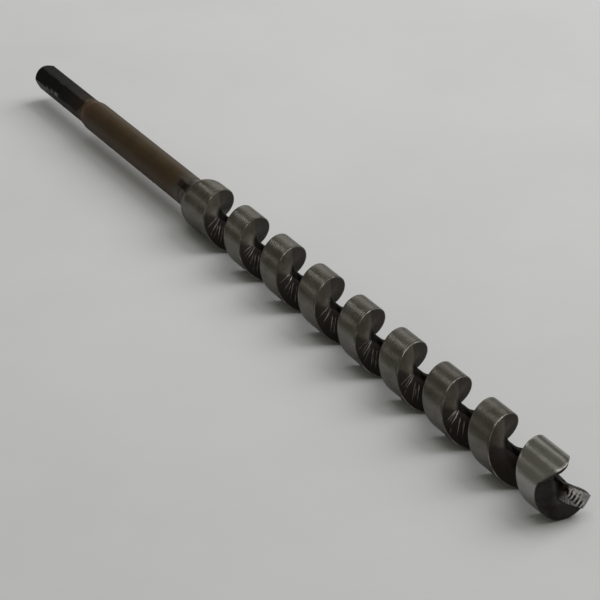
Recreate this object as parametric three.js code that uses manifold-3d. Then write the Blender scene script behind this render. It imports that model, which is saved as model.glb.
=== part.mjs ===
// Single-twist auger bit with a hexagonal power-drive end, lying on its side.
// Millimetres, +Z up. +X runs along the bit towards the cutting head, the axis of
// the bit is parallel to X and one flute radius above the surface it lies on.
// The origin is the middle of the underside of the whole bit.
import * as THREE from 'three';
import * as BufferGeometryUtils from 'three/addons/utils/BufferGeometryUtils.js';
import Module from 'manifold-3d';

const wasm = await Module();
wasm.setup();

// ---------------------------------------------------------------- dimensions
const FLUTE_D = 22.22;            // 7/8 in. bit diameter
const R = FLUTE_D / 2;
const AXIS_Z = R;                 // the lands touch the surface below
const PITCH = 32.34;              // one turn of the flute
const LAND_SHARE = 0.434;         // share of the pitch taken by the land
const SIDES = 16;                 // straight facets round the lands
const X_HEAD = 223.0;             // plane of the cutting head
const X_FRONT_PHASE = 85.48;       // front rim of the fifth land where it faces up

const HEX_AF = 10.9;              // nominal 7/16 in. across flats
const HEX_ROLL = 26;              // degrees, roll of the hexagon about the axis
const X_HEX_END = -224.8;         // free end of the hexagon
const HEX_CHAMFER = 1.0;
const HEX_CHAMFER_LEN = 1.7;
const X_HEX_SEAM = -172.8;        // hexagon meets the shank
const SEAM = 0.9;                 // width of a seam ring between two pieces
const GAP = 0.3;                  // clearance left between neighbouring solids
const SPIGOT_D = 7.0;             // turned spigot that centres the joints
const SPIGOT_LEN = 8.0;

const SHANK_D = 13.97;            // 0.55 in. round shank
const SHANK_R = SHANK_D / 2;
const X_SHOULDER = -166.6;        // the shank has reached its full diameter
const X_NECK_SEAM = -69.4;        // shank meets the flute
const X_FLARE_0 = -68.4;          // neck starts to flare
const X_FLARE_1 = -56.2;          // neck has reached the full diameter

const CORE_R = 1.9;              // solid core at the bottom of the groove
const LIP_T = 2.6;                // thickness of the cutting lip below the head face
const LIP_PROUD = 0.8;            // and how far it stands out of it
const BRAZE_T = 0.5;              // bedding layer behind the lip

const RAD = Math.PI / 180;

// ---------------------------------------------------------------- materials
const mat = (color, roughness, metalness) =>
  new THREE.MeshStandardMaterial({ color, roughness, metalness });
const blackOxide = mat(0x2a2926, 0.5, 0.6);
const brownLacquer = mat(0x55452f, 0.45, 0.35);
const groundSteel = mat(0x8f8d88, 0.35, 0.9);
const lipSteel = mat(0xa9a7a3, 0.45, 0.9);
const weldMetal = mat(0x5a5148, 0.6, 0.7);
const brazeMetal = mat(0x6b5334, 0.5, 0.8);

// ---------------------------------------------------------------- helpers
// a solid from vertices in the bit's own polar frame
const at = (x, r, th) => [x, -r * Math.sin(th), AXIS_Z + r * Math.cos(th)];

// rings: array of arrays of [x,y,z], all the same length, running along +X,
// each ring turning from up towards -Y; the ends are closed with fans
function loft(rings, capFirst, capLast) {
  const n = rings[0].length;
  const pos = [];
  const tri = [];
  for (const ring of rings) for (const p of ring) pos.push(...p);
  for (let j = 0; j + 1 < rings.length; j++) {
    for (let i = 0; i < n; i++) {
      const a = j * n + i;
      const b = j * n + ((i + 1) % n);
      const c = (j + 1) * n + i;
      const d = (j + 1) * n + ((i + 1) % n);
      tri.push(a, b, c, b, d, c);
    }
  }
  const first = pos.length / 3;
  pos.push(...capFirst);
  for (let i = 0; i < n; i++) tri.push(first, (i + 1) % n, i);
  const last = pos.length / 3;
  const o = (rings.length - 1) * n;
  pos.push(...capLast);
  for (let i = 0; i < n; i++) tri.push(last, o + i, o + ((i + 1) % n));
  return toSolid(new Float32Array(pos), new Uint32Array(tri));
}

function toSolid(vertProperties, triVerts) {
  let m = new wasm.Manifold(new wasm.Mesh({ numProp: 3, vertProperties, triVerts }));
  if (m.volume() < 0) {
    const flipped = new Uint32Array(triVerts.length);
    for (let i = 0; i < triVerts.length; i += 3) {
      flipped[i] = triVerts[i];
      flipped[i + 1] = triVerts[i + 2];
      flipped[i + 2] = triVerts[i + 1];
    }
    m = new wasm.Manifold(new wasm.Mesh({ numProp: 3, vertProperties, triVerts: flipped }));
  }
  return m;
}

// a closed three.js geometry as a solid, in the bit's frame
function fromGeometry(geometry, matrix) {
  let g = geometry.clone();
  if (matrix) g.applyMatrix4(matrix);
  g.deleteAttribute('normal');
  g.deleteAttribute('uv');
  g = BufferGeometryUtils.mergeVertices(g, 1e-4);
  return toSolid(new Float32Array(g.attributes.position.array), new Uint32Array(g.index.array));
}

function toGeometry(solid) {
  const m = solid.getMesh();
  const n = m.numProp;
  const v = m.vertProperties;
  const p = new Float32Array((v.length / n) * 3);
  for (let i = 0; i < v.length / n; i++) {
    p[3 * i] = v[n * i];
    p[3 * i + 1] = v[n * i + 1];
    p[3 * i + 2] = v[n * i + 2];
  }
  const g = new THREE.BufferGeometry();
  g.setAttribute('position', new THREE.BufferAttribute(p, 3));
  g.setIndex(new THREE.BufferAttribute(new Uint32Array(m.triVerts), 1));
  g.computeVertexNormals();
  return g;
}

// round bar from a profile of [x, radius]; starts and ends on the axis
function turned(profile, sides = SIDES, circumscribed = true) {
  const k = circumscribed ? 1 / Math.cos(Math.PI / sides) : 1;
  const pts = profile.map(([x, r]) => new THREE.Vector2(r * k, x));
  const g = new THREE.LatheGeometry(pts, sides);
  const m = new THREE.Matrix4()
    .makeTranslation(0, 0, AXIS_Z)
    .multiply(new THREE.Matrix4().makeRotationX(Math.PI / sides))
    .multiply(new THREE.Matrix4().makeRotationZ(-Math.PI / 2));
  return fromGeometry(g, m);
}

function boxSolid(sx, sy, sz, matrix) {
  return fromGeometry(new THREE.BoxGeometry(sx, sy, sz), matrix);
}

const lerp = (a, b, t) => a + (b - a) * Math.min(1, Math.max(0, t));
const smooth = (t) => {
  const u = Math.min(1, Math.max(0, t));
  return u * u * (3 - 2 * u);
};

// ---------------------------------------------------------------- flute
// Radius across the groove: a runs from 0 at the front rim of one land to 1 at
// the back rim of the next. The front face of a land falls steeply to the core,
// and the bottom then rises in a long curve to the back of the next land.
const GROOVE = [
  [0.0, 1.0], [0.012, 0.90], [0.032, 0.70], [0.055, 0.52], [0.085, 0.385],
  [0.13, 0.285], [0.19, 0.212], [0.28, CORE_R / R], [0.52, CORE_R / R], [0.66, 0.20],
  [0.78, 0.275], [0.87, 0.385], [0.93, 0.52], [0.97, 0.71], [1.0, 1.0],
];
const R_OUT = R / Math.cos(Math.PI / SIDES);   // vertex radius of the facetted land
const LAND_STEPS = 7;                           // land spans seven facets
const STEP = 360 / SIDES;
const LAND_SPAN = LAND_STEPS * STEP;            // degrees
const GROOVE_SPAN = 360 - LAND_SPAN;

// front rim of the land as a helix: x = X_FRONT_PHASE + PITCH * th / 360 + k * PITCH
const outerRadius = (x) => {
  const t = (x - X_FLARE_0) / (X_FLARE_1 - X_FLARE_0);
  return lerp(SHANK_R, R, smooth(t)) / Math.cos(Math.PI / SIDES);
};
// The groove starts behind the neck and deepens within a quarter of a turn. Angles
// count along the front rim, whose fifth land faces up at zero.
const GROOVE_FROM = -1605;
const GROOVE_FULL = -1515;
const runOut = (deg) => {
  const t = (deg - GROOVE_FROM) / (GROOVE_FULL - GROOVE_FROM);
  return t >= 1 ? 0 : lerp(1, 0, Math.sin(Math.min(1, Math.max(0, t)) * Math.PI / 2));
};

function fluteSweep(x0, x1) {
  const dx = PITCH / SIDES;
  const rings = [];
  const xs = [];
  // stations on a grid on which the land edges fall on the straight facet lines
  const base = X_FRONT_PHASE + (PITCH * 11.25) / 360;
  const j0 = Math.ceil((x0 - base) / dx);
  const j1 = Math.floor((x1 - base) / dx);
  for (let j = j0; j <= j1; j++) xs.push([base + j * dx, j]);
  for (const [x, j] of xs) {
    // at this station the front rim stands at this angle
    const front = 11.25 + j * STEP;
    const ring = [];
    const ro = outerRadius(x);
    for (let i = 0; i <= LAND_STEPS; i++) ring.push([front + i * STEP, 1]);
    for (let i = GROOVE.length - 2; i >= 1; i--) {
      const [a, r] = GROOVE[i];
      ring.push([front + LAND_SPAN + (1 - a) * GROOVE_SPAN, r]);
    }
    rings.push(
      ring.map(([deg, r], i) => {
        let rr = r * R_OUT;
        if (i > LAND_STEPS) rr = Math.max(rr, runOut(deg - 360) * R_OUT);
        // between facet lines the uncut bar is a flat facet
        const off = ((((deg - 11.25) % STEP) + STEP) % STEP) - STEP / 2;
        const facet = (ro * Math.cos(Math.PI / SIDES)) / Math.cos(off * RAD);
        return at(x, Math.min(rr, i > LAND_STEPS ? facet - 0.02 : ro), deg * RAD);
      }),
    );
  }
  const first = xs[0][0];
  const last = xs[xs.length - 1][0];
  return loft(rings, [first, 0, AXIS_Z], [last, 0, AXIS_Z]);
}

// The head face. Seen from the tip it is square to the axis, and it is set back
// a little along the near side of the last land.
const HEAD_SETBACK = [
  [-180, 0], [-120, 0], [54, 0], [62, 2.7], [76, 2.9], [92, 2.6], [108, 2.2],
  [125, 1.5], [142, 0.6], [158, 0], [180, 0],
];
function table(rows, v) {
  for (let i = 0; i + 1 < rows.length; i++) {
    if (v <= rows[i + 1][0]) {
      const t = (v - rows[i][0]) / (rows[i + 1][0] - rows[i][0]);
      return rows[i][1] + (rows[i + 1][1] - rows[i][1]) * t;
    }
  }
  return rows[rows.length - 1][1];
}
function headStock() {
  // everything behind the head face, as a drum larger than the bit
  const n = 48;
  const face = [];
  const rs = [0.35, 0.7, 1.0, 1.25];
  for (const f of rs.slice().reverse()) {
    const ring = [];
    for (let i = 0; i < n; i++) {
      const deg = -180 + (360 * i) / n;
      const back = table(HEAD_SETBACK, deg) * smooth((f - 0.35) / 0.65);
      ring.push(at(X_HEAD - back, R * f, deg * RAD));
    }
    face.push(ring);
  }
  const back = [];
  for (let i = 0; i < n; i++) back.push(at(-140, R * 1.25, (-180 + (360 * i) / n) * RAD));
  return loft([back, ...face], [-140, 0, AXIS_Z], [X_HEAD, 0, AXIS_Z]);
}

// The wing: the last land carried forward past its own helix, hollow beneath.
// Rows are angle and the place of the front edge.
const WING_EDGE = [
  [-92, 206.0], [-70, 209.8], [-45, 213.6], [-30, 216.9], [-15, 220.5], [-4, 222.9],
  [8, 224.3], [18, 224.8], [30, 224.1], [44, 223.1], [56, 221.7], [62, 220.7], [68, 220.0],
];
const WING_T = 2.3;
function wing() {
  const rings = [];
  const degs = [];
  for (const [d] of WING_EDGE) degs.push(d);
  for (let k = -5; k <= 3; k++) degs.push(11.25 + k * STEP - (k === -5 ? 1e-3 : 0));
  degs.sort((a, b) => a - b);
  const use = degs.filter((d, i) => d >= -92 && d <= 68 && (i === 0 || d - degs[i - 1] > 0.5));
  for (const deg of use) {
    const off = ((((deg - 11.25) % STEP) + STEP) % STEP) - STEP / 2;
    const ro = R / Math.cos(off * RAD) - 0.03;
    const xe = table(WING_EDGE, deg);
    const rim = X_FRONT_PHASE + (PITCH * deg) / 360 + 4 * PITCH;
    const xb = Math.min(rim, xe) - 4.0;
    const th = deg * RAD;
    rings.push([at(xb, ro - WING_T - 1.8, th), at(xe - 0.9, ro - WING_T * 0.8, th),
      at(xe, ro - 0.55, th), at(xe - 0.25, ro, th), at(xb, ro, th)]);
  }
  return loft(rings,
    rings[0].reduce((s, p) => s.map((v, i) => v + p[i] / 5), [0, 0, 0]),
    rings[rings.length - 1].reduce((s, p) => s.map((v, i) => v + p[i] / 5), [0, 0, 0]));
}

// the core thickens where it comes out in the head face
const headBoss = turned([[X_HEAD - 18, 0], [X_HEAD - 18, 1.4], [X_HEAD - 11, 3.3], [X_HEAD - 7.3, 3.6], [X_HEAD - 3, 3.2], [X_HEAD, 2.85], [X_HEAD, 0]], 16, false);
const sweep = fluteSweep(X_NECK_SEAM + SEAM / 2 + GAP - 6, X_HEAD + 8).add(headBoss);
const neckStock = turned([[X_NECK_SEAM + SEAM / 2 + GAP, 0], [X_NECK_SEAM + SEAM / 2 + GAP, 40], [X_HEAD + 20, 40], [X_HEAD + 20, 0]], SIDES);
const fullBody = sweep.intersect(headStock()).add(wing()).intersect(neckStock);

// The cutting lip: a block let into the head face, reaching from the core to the
// rim. Its outline is given across the axis, in flute radii, +Y to the right.
const LIP_OUTLINE = [
  [-0.26, -0.10], [-0.20, -0.22], [0.10, -0.44], [0.655, -0.745], [0.71, -0.70],
  [0.83, -0.55], [0.92, -0.385], [0.945, -0.33], [0.75, -0.185], [0.50, -0.035],
  [0.30, 0.10], [0.15, 0.21], [-0.05, 0.31],
];
// the outline moved outwards by d millimetres, corner by corner
function grown(outline, d) {
  const n = outline.length;
  const out = [];
  for (let i = 0; i < n; i++) {
    const a = outline[(i + n - 1) % n].map((v) => v * R);
    const b = outline[i].map((v) => v * R);
    const c = outline[(i + 1) % n].map((v) => v * R);
    const n1 = [b[1] - a[1], a[0] - b[0]];
    const n2 = [c[1] - b[1], b[0] - c[0]];
    const l1 = Math.hypot(...n1);
    const l2 = Math.hypot(...n2);
    const m = [n1[0] / l1 + n2[0] / l2, n1[1] / l1 + n2[1] / l2];
    const q = 2 / (m[0] * m[0] + m[1] * m[1]);
    out.push([b[0] + m[0] * d * q, b[1] + m[1] * d * q]);
  }
  return out;
}
function lipBlock(d, x0, x1) {
  const pts = grown(LIP_OUTLINE, d).map(([y, z]) => new THREE.Vector2(y, z));
  const g = new THREE.ExtrudeGeometry(new THREE.Shape(pts), { depth: x1 - x0, bevelEnabled: false, steps: 1 });
  // extrusion runs along +X, the outline's own axes become +Y and +Z
  const m = new THREE.Matrix4().makeTranslation(x0, 0, AXIS_Z)
    .multiply(new THREE.Matrix4().makeBasis(new THREE.Vector3(0, 1, 0), new THREE.Vector3(0, 0, 1), new THREE.Vector3(1, 0, 0)));
  return fromGeometry(g, m);
}
const X_LIP = X_HEAD + LIP_PROUD;
const headDrum = turned([[X_HEAD - 30, 0], [X_HEAD - 30, R - 0.02], [X_LIP, R - 0.02], [X_LIP, 0]], SIDES);
let cuttingLip = lipBlock(0, X_HEAD - LIP_T, X_LIP).intersect(headDrum);
// six rounded steps across the lip, centred on the axis
for (let k = 0; k < 6; k++) {
  const r = 2.3 + k * 1.45;
  const ring = turned([[X_LIP - 0.55, r - 0.1], [X_LIP + 1, r - 0.5], [X_LIP + 1, r + 0.5], [X_LIP - 0.55, r + 0.1], [X_LIP - 0.55, r - 0.1]], 32, false);
  cuttingLip = cuttingLip.subtract(ring);
}
const seat = sweep.intersect(headStock());
// a cut can leave loose crumbs at the groove's edge, so the main body is kept
const largest = (solid) => solid.decompose().sort((a, b) => b.volume() - a.volume())[0];
const braze = largest(seat.intersect(lipBlock(GAP + BRAZE_T, X_HEAD - LIP_T - GAP - BRAZE_T, X_HEAD + 9))
  .subtract(lipBlock(GAP, X_HEAD - LIP_T - GAP, X_HEAD + 10)));
const fluteBody = largest(fullBody.subtract(lipBlock(2 * GAP + BRAZE_T, X_HEAD - LIP_T - 2 * GAP - BRAZE_T, X_HEAD + 10))
  .subtract(turned([[X_NECK_SEAM - 1, 0], [X_NECK_SEAM - 1, SPIGOT_D / 2 + GAP], [X_NECK_SEAM + SPIGOT_LEN + GAP, SPIGOT_D / 2 + GAP], [X_NECK_SEAM + SPIGOT_LEN + GAP, 0]], 12)));

// ---------------------------------------------------------------- drive end
function hexBar(x0, x1, af, chamfer) {
  const rc = af / 2 / Math.cos(Math.PI / 6);
  const g = new THREE.CylinderGeometry(rc, rc, x1 - x0, 6);
  const m = new THREE.Matrix4().makeTranslation((x0 + x1) / 2, 0, AXIS_Z)
    .multiply(new THREE.Matrix4().makeRotationX(HEX_ROLL * RAD))
    .multiply(new THREE.Matrix4().makeRotationZ(-Math.PI / 2));
  let s = fromGeometry(g, m);
  if (chamfer) {
    s = s.intersect(turned([[x0, 0], [x0, rc - HEX_CHAMFER], [x0 + HEX_CHAMFER_LEN, rc + 0.02],
      [x1 + 5, rc + 0.02], [x1 + 5, 0]], 36));
  }
  return s;
}
const hexDriveEnd = hexBar(X_HEX_END, X_HEX_SEAM - SEAM / 2 - GAP, HEX_AF, true)
  .add(turned([[X_HEX_SEAM - 4, 0], [X_HEX_SEAM - 4, SPIGOT_D / 2], [X_HEX_SEAM + SPIGOT_LEN, SPIGOT_D / 2], [X_HEX_SEAM + SPIGOT_LEN, 0]], 12));

const hexSeam = turned([
  [X_HEX_SEAM - SEAM / 2, SPIGOT_D / 2 + GAP], [X_HEX_SEAM - SEAM / 2, HEX_AF / 2 + 0.45], [X_HEX_SEAM, HEX_AF / 2 + 0.75],
  [X_HEX_SEAM + SEAM / 2, HEX_AF / 2 + 0.65], [X_HEX_SEAM + SEAM / 2, SPIGOT_D / 2 + GAP], [X_HEX_SEAM - SEAM / 2, SPIGOT_D / 2 + GAP],
], 24);

// The shank: round bar whose end is coned down towards the hexagon.
const shankBar = turned([
  [X_HEX_SEAM + SEAM / 2 + GAP, 0], [X_HEX_SEAM + SEAM / 2 + GAP, 6.25], [X_SHOULDER - 2.4, 6.8],
  [X_SHOULDER, SHANK_R], [X_NECK_SEAM - SEAM / 2 - GAP, SHANK_R], [X_NECK_SEAM - SEAM / 2 - GAP, 0],
], 24);
const roundShank = shankBar
  .add(turned([[X_NECK_SEAM - 8, 0], [X_NECK_SEAM - 8, SPIGOT_D / 2], [X_NECK_SEAM + SPIGOT_LEN, SPIGOT_D / 2], [X_NECK_SEAM + SPIGOT_LEN, 0]], 12))
  .subtract(turned([[X_HEX_SEAM - 8, 0], [X_HEX_SEAM - 8, SPIGOT_D / 2 + GAP], [X_HEX_SEAM + SPIGOT_LEN + GAP, SPIGOT_D / 2 + GAP], [X_HEX_SEAM + SPIGOT_LEN + GAP, 0]], 12));

const neckSeam = turned([
  [X_NECK_SEAM - SEAM / 2, SPIGOT_D / 2 + GAP], [X_NECK_SEAM - SEAM / 2, SHANK_R - 0.05], [X_NECK_SEAM, SHANK_R + 0.15],
  [X_NECK_SEAM + SEAM / 2, SHANK_R - 0.05], [X_NECK_SEAM + SEAM / 2, SPIGOT_D / 2 + GAP], [X_NECK_SEAM - SEAM / 2, SPIGOT_D / 2 + GAP],
], 24);

// ---------------------------------------------------------------- assembly
const auger = new THREE.Group();
auger.name = 'auger_bit';
function add(name, solid, material) {
  const mesh = new THREE.Mesh(toGeometry(solid), material);
  mesh.name = name;
  auger.add(mesh);
}
add('hex_drive_end', hexDriveEnd, blackOxide);
add('hex_weld_seam', hexSeam, weldMetal);
add('round_shank', roundShank, brownLacquer);
add('neck_weld_seam', neckSeam, weldMetal);
add('flute_body', fluteBody, groundSteel);
add('lip_braze_layer', braze, brazeMetal);
add('cutting_lip', cuttingLip, lipSteel);

export default auger;
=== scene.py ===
import math

import bpy
import numpy as np
from mathutils import Matrix, Vector


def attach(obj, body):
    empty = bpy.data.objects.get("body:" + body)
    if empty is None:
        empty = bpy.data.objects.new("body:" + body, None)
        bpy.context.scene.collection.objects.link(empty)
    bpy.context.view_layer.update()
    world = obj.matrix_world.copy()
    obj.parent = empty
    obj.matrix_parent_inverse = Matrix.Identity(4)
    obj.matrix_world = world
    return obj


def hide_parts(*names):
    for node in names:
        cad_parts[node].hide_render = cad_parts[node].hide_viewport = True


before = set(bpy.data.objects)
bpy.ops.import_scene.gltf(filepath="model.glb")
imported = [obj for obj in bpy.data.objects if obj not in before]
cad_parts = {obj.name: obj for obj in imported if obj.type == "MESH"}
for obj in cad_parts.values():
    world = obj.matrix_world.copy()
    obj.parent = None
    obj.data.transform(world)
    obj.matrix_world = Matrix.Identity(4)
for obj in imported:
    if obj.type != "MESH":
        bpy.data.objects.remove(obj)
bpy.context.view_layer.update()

# ------------------------------------------------------------------ sizes, in mm
R = 11.11                 # flute radius, and the height of the bit's axis
PITCH = 32.34
PH = 85.48                # front rim of land 0 where it faces up
LAND = 0.434 * PITCH      # width of the land along the axis
GROOVE_W = PITCH - LAND
X_HEAD = 223.0
CORE_R = 1.9
X_NECK = -68.65
SHANK_R = 6.985
HEX_AF, HEX_ROLL = 10.9, 26.0
MM = 0.001


# ------------------------------------------------------------------ small maths
def clamp(v, lo=0.0, hi=1.0):
    return np.minimum(hi, np.maximum(lo, v))


def smooth(v):
    u = clamp(v)
    return u * u * (3 - 2 * u)


def curve(rows, x):
    """Monotone cubic through the rows, flat outside them."""
    xs = np.array([r[0] for r in rows], float)
    ys = np.array([r[1] for r in rows], float)
    h, d = np.diff(xs), np.diff(ys) / np.diff(xs)
    m = np.zeros(len(xs))
    for i in range(1, len(xs) - 1):
        if d[i - 1] * d[i] > 0:
            w1, w2 = 2 * h[i] + h[i - 1], h[i] + 2 * h[i - 1]
            m[i] = (w1 + w2) / (w1 / d[i - 1] + w2 / d[i])
    m[0], m[-1] = d[0], d[-1]
    x = np.asarray(x, float)
    q = np.clip(x, xs[0], xs[-1])
    i = np.clip(np.searchsorted(xs, q, side="right") - 1, 0, len(xs) - 2)
    t = (q - xs[i]) / h[i]
    return (
        (2 * t**3 - 3 * t**2 + 1) * ys[i]
        + (t**3 - 2 * t**2 + t) * h[i] * m[i]
        + (-2 * t**3 + 3 * t**2) * ys[i + 1]
        + (t**3 - t**2) * h[i] * m[i + 1]
    )


def lattice(ix, iy, iz, seed):
    n = (ix * 374761393 + iy * 668265263 + iz * 2147483647 + seed * 974634777) & 0xFFFFFFFF
    n = ((n ^ (n >> 13)) * 1274126177) & 0xFFFFFFFF
    n = (n ^ (n >> 16)) & 0xFFFF
    return n / 32767.5 - 1.0


def noise(x, y, z, size, seed=1):
    """Smooth value noise from -1 to 1 with cells of that size."""
    x, y, z = np.broadcast_arrays(np.asarray(x, float) / size, np.asarray(y, float) / size, np.asarray(z, float) / size)
    ix, iy, iz = np.floor(x).astype(np.int64), np.floor(y).astype(np.int64), np.floor(z).astype(np.int64)
    fx, fy, fz = smooth(x - ix), smooth(y - iy), smooth(z - iz)
    out = 0.0
    for a in (0, 1):
        for b in (0, 1):
            for c in (0, 1):
                w = (fx if a else 1 - fx) * (fy if b else 1 - fy) * (fz if c else 1 - fz)
                out = out + w * lattice(ix + a, iy + b, iz + c, seed)
    return out


def place(x, r, deg):
    """Points at station x, radius r and angle deg, turning from up towards -Y."""
    th = np.radians(deg)
    return np.stack(np.broadcast_arrays(x, -r * np.sin(th), R + r * np.cos(th)), -1)


# ------------------------------------------------------------------ mesh helpers
def new_object(name, verts, faces):
    me = bpy.data.meshes.new(name)
    me.from_pydata((np.asarray(verts, float) * MM).tolist(), [], faces)
    me.validate(verbose=False)
    ob = bpy.data.objects.new(name, me)
    bpy.context.scene.collection.objects.link(ob)
    return ob


def tidy(ob, sharp_deg=32.0, merge=1.2e-6):
    """Merges coincident points, turns the faces outwards and marks sharp edges."""
    import bmesh

    bm = bmesh.new()
    bm.from_mesh(ob.data)
    bmesh.ops.remove_doubles(bm, verts=bm.verts, dist=merge)
    bmesh.ops.dissolve_degenerate(bm, edges=bm.edges, dist=merge)
    loose = [v for v in bm.verts if not v.link_faces]
    bmesh.ops.delete(bm, geom=loose, context="VERTS")
    bmesh.ops.recalc_face_normals(bm, faces=bm.faces)
    if bm.calc_volume(signed=True) < 0:
        bmesh.ops.reverse_faces(bm, faces=bm.faces)
    lim = math.radians(sharp_deg)
    for e in bm.edges:
        e.smooth = not (len(e.link_faces) == 2 and e.calc_face_angle(0.0) > lim)
    for f in bm.faces:
        f.smooth = True
    bm.to_mesh(ob.data)
    bm.free()
    ob.data.update()
    return ob


def boolean(ob, other, operation):
    """ob joined with, cut by or limited to other, applied to ob's own mesh; other is removed."""
    mod = ob.modifiers.new("cut", "BOOLEAN")
    mod.object, mod.operation = other, operation
    mod.solver = "MANIFOLD"
    dg = bpy.context.evaluated_depsgraph_get()
    me = bpy.data.meshes.new_from_object(ob.evaluated_get(dg), depsgraph=dg)
    if len(me.polygons) == 0:
        mod.solver = "EXACT"
        dg = bpy.context.evaluated_depsgraph_get()
        me = bpy.data.meshes.new_from_object(ob.evaluated_get(dg), depsgraph=dg)
    ob.modifiers.clear()
    old = ob.data
    ob.data = me
    bpy.data.meshes.remove(old)
    bpy.data.objects.remove(other)
    return ob


def grid_faces(rows, cols, close=True, offset=0):
    """Quads of a rows x cols grid whose columns close on themselves if close."""
    j, i = np.meshgrid(np.arange(rows - 1), np.arange(cols if close else cols - 1), indexing="ij")
    a = j * cols + i
    b = j * cols + (i + 1) % cols
    return (np.stack([a, b, b + cols, a + cols], -1).reshape(-1, 4) + offset).tolist()


def rings_object(name, rings, cap0, cap1):
    """A closed skin over rings, an array (n, m, 3), with a fan at each end."""
    n, m = rings.shape[:2]
    verts = np.concatenate([rings.reshape(-1, 3), [cap0], [cap1]])
    faces = grid_faces(n, m)
    f, l, o = n * m, n * m + 1, (n - 1) * m
    faces += [[f, (i + 1) % m, i] for i in range(m)]
    faces += [[l, o + i, o + (i + 1) % m] for i in range(m)]
    return new_object(name, verts, faces)


def turned(name, profile, sides=96, wobble=0.0):
    """Rings of points for a turned piece about the bit's axis, from [x, r] rows."""
    prof = np.array(profile, float)
    deg = np.arange(sides) * 360.0 / sides
    x = np.repeat(prof[:, :1], sides, 1)
    r = np.repeat(prof[:, 1:], sides, 1)
    if wobble:
        p = place(x, r, deg[None, :])
        r = r + wobble * noise(p[..., 0], p[..., 1], p[..., 2], 5.0, 7) * (r > 1)
    return place(x, r, deg[None, :])


# ------------------------------------------------------------------ flute
GROOVE = [
    (0.0, 1.0), (0.012, 0.90), (0.032, 0.70), (0.055, 0.52), (0.085, 0.385),
    (0.13, 0.285), (0.19, 0.212), (0.28, CORE_R / R), (0.52, CORE_R / R), (0.66, 0.20),
    (0.78, 0.275), (0.87, 0.385), (0.93, 0.52), (0.97, 0.71), (1.0, 1.0),
]
EDGE = 0.2                 # how far the worn rims of the land are rounded down


def s_face(r):
    """How far the front face lies ahead of the rim, at radius r."""
    rows = [(0.212 * R, 0.19), (0.285 * R, 0.13), (0.385 * R, 0.085), (0.52 * R, 0.055),
            (0.70 * R, 0.032), (0.90 * R, 0.012), (R - EDGE, 0.0)]
    return curve(rows, r) * GROOVE_W


def a_back(r):
    rows = [(0.20 * R, 0.66), (0.275 * R, 0.78), (0.385 * R, 0.87), (0.52 * R, 0.93), (0.71 * R, 0.97), (R - EDGE, 1.0)]
    return curve(rows, r)


WING_EDGE = [
    (-92, 206.0), (-70, 209.8), (-45, 213.6), (-30, 216.9), (-15, 220.5), (-4, 222.9), (8, 224.3),
    (18, 224.78), (30, 224.1), (44, 223.1), (56, 221.7), (62, 220.7), (68, 220.0),
]
SETBACK = [
    (-180, 0), (-120, 0), (54, 0), (62, 2.7), (76, 2.9), (92, 2.6), (108, 2.2), (125, 1.5), (142, 0.6), (158, 0), (180, 0),
]
# the raised creases that fan out over a front face, as (part of the flute radius, angle) from the core outwards, with
# the height in mm and the strength of the painted highlight along them
CREASES = [
    ([(0.46, 59), (0.57, 71), (0.70, 80), (0.82, 86), (0.96, 92)], 0.13, 0.66),
    ([(0.35, 59), (0.42, 72), (0.50, 84), (0.60, 93), (0.74, 101), (0.85, 107)], 0.17, 1.00),
    ([(0.35, 84), (0.41, 95), (0.48, 105), (0.57, 115), (0.66, 122), (0.78, 129), (0.87, 133)], 0.13, 0.72),
    ([(0.30, 95), (0.38, 111), (0.48, 122), (0.60, 131), (0.71, 137), (0.82, 142)], 0.12, 0.66),
    ([(0.42, 60), (0.50, 72), (0.62, 84), (0.74, 92), (0.88, 98)], 0.10, 0.50),
    ([(0.45, 87), (0.55, 98), (0.66, 107), (0.78, 114), (0.92, 120)], 0.09, 0.42),
    ([(0.44, 109), (0.54, 120), (0.66, 128), (0.78, 134)], 0.09, 0.42),
    ([(0.78, 105), (0.86, 110), (0.98, 115)], 0.08, 0.50),
]
CREASE_W = 0.17            # half width, mm


def shell_radius(x):
    """Uncut radius of the bar, from the neck's flare to the flute."""
    return SHANK_R + (R - SHANK_R) * smooth((x + 68.4) / 12.2)


def run_out(th_total):
    """The groove starts behind the neck and deepens within a quarter of a turn."""
    t = clamp((th_total + 1605.0) / 90.0)
    return 1 - np.sin(t * math.pi / 2)


def boss_radius(x):
    return curve([(200, 0.0), (205, 1.4), (212, 3.3), (215.7, 3.6), (220, 3.2), (223, 2.85), (228, 2.4)], x)


def creases(th_total, r):
    """For each crease its distance in mm and how strongly its painted highlight shows, and the height of them all."""
    turn = np.floor(th_total / 360.0).astype(int)
    deg = th_total - 360.0 * turn
    shape = np.broadcast(th_total, r).shape
    f = np.broadcast_to(r / R, shape)
    high = np.zeros(shape)
    fields = []
    for n, (pts, height, bright) in enumerate(CREASES):
        dist, present = np.full(shape, 9.0), np.zeros(shape)
        fs, ts = [a for a, _ in pts], [b for _, b in pts]
        slope = f * np.radians(np.interp(f + 0.03, fs, ts) - np.interp(f - 0.03, fs, ts)) / 0.06
        for k in range(-4, 3):
            here = turn == k
            j1, j2, j3 = (lattice(np.array([k]), np.array([n]), np.array([q]), 11 + q)[0] for q in (3, 5, 9))
            if not here.any() or (n > 3 and j3 < -0.1):
                continue
            off = np.radians(deg - np.interp(f, fs, ts) - 3.6 * j1) * r / np.sqrt(1 + slope**2)
            end = fs[-1] - 0.05 * (1 + j2)
            body = smooth((f - fs[0]) / 0.05) * smooth((end - f) / 0.10)
            dist = np.where(here, clamp(off, -9.0, 9.0), dist)
            taper = 1.0 - 0.55 * clamp((f - fs[0]) / (end - fs[0]))
            present = np.where(here, body * taper * bright * (0.80 + 0.25 * j2), present)
            high = high + here * body * height * (0.8 + 0.3 * j3) * np.exp(-((off / CREASE_W) ** 2))
        fields.append((dist, present))
    return fields, high


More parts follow.
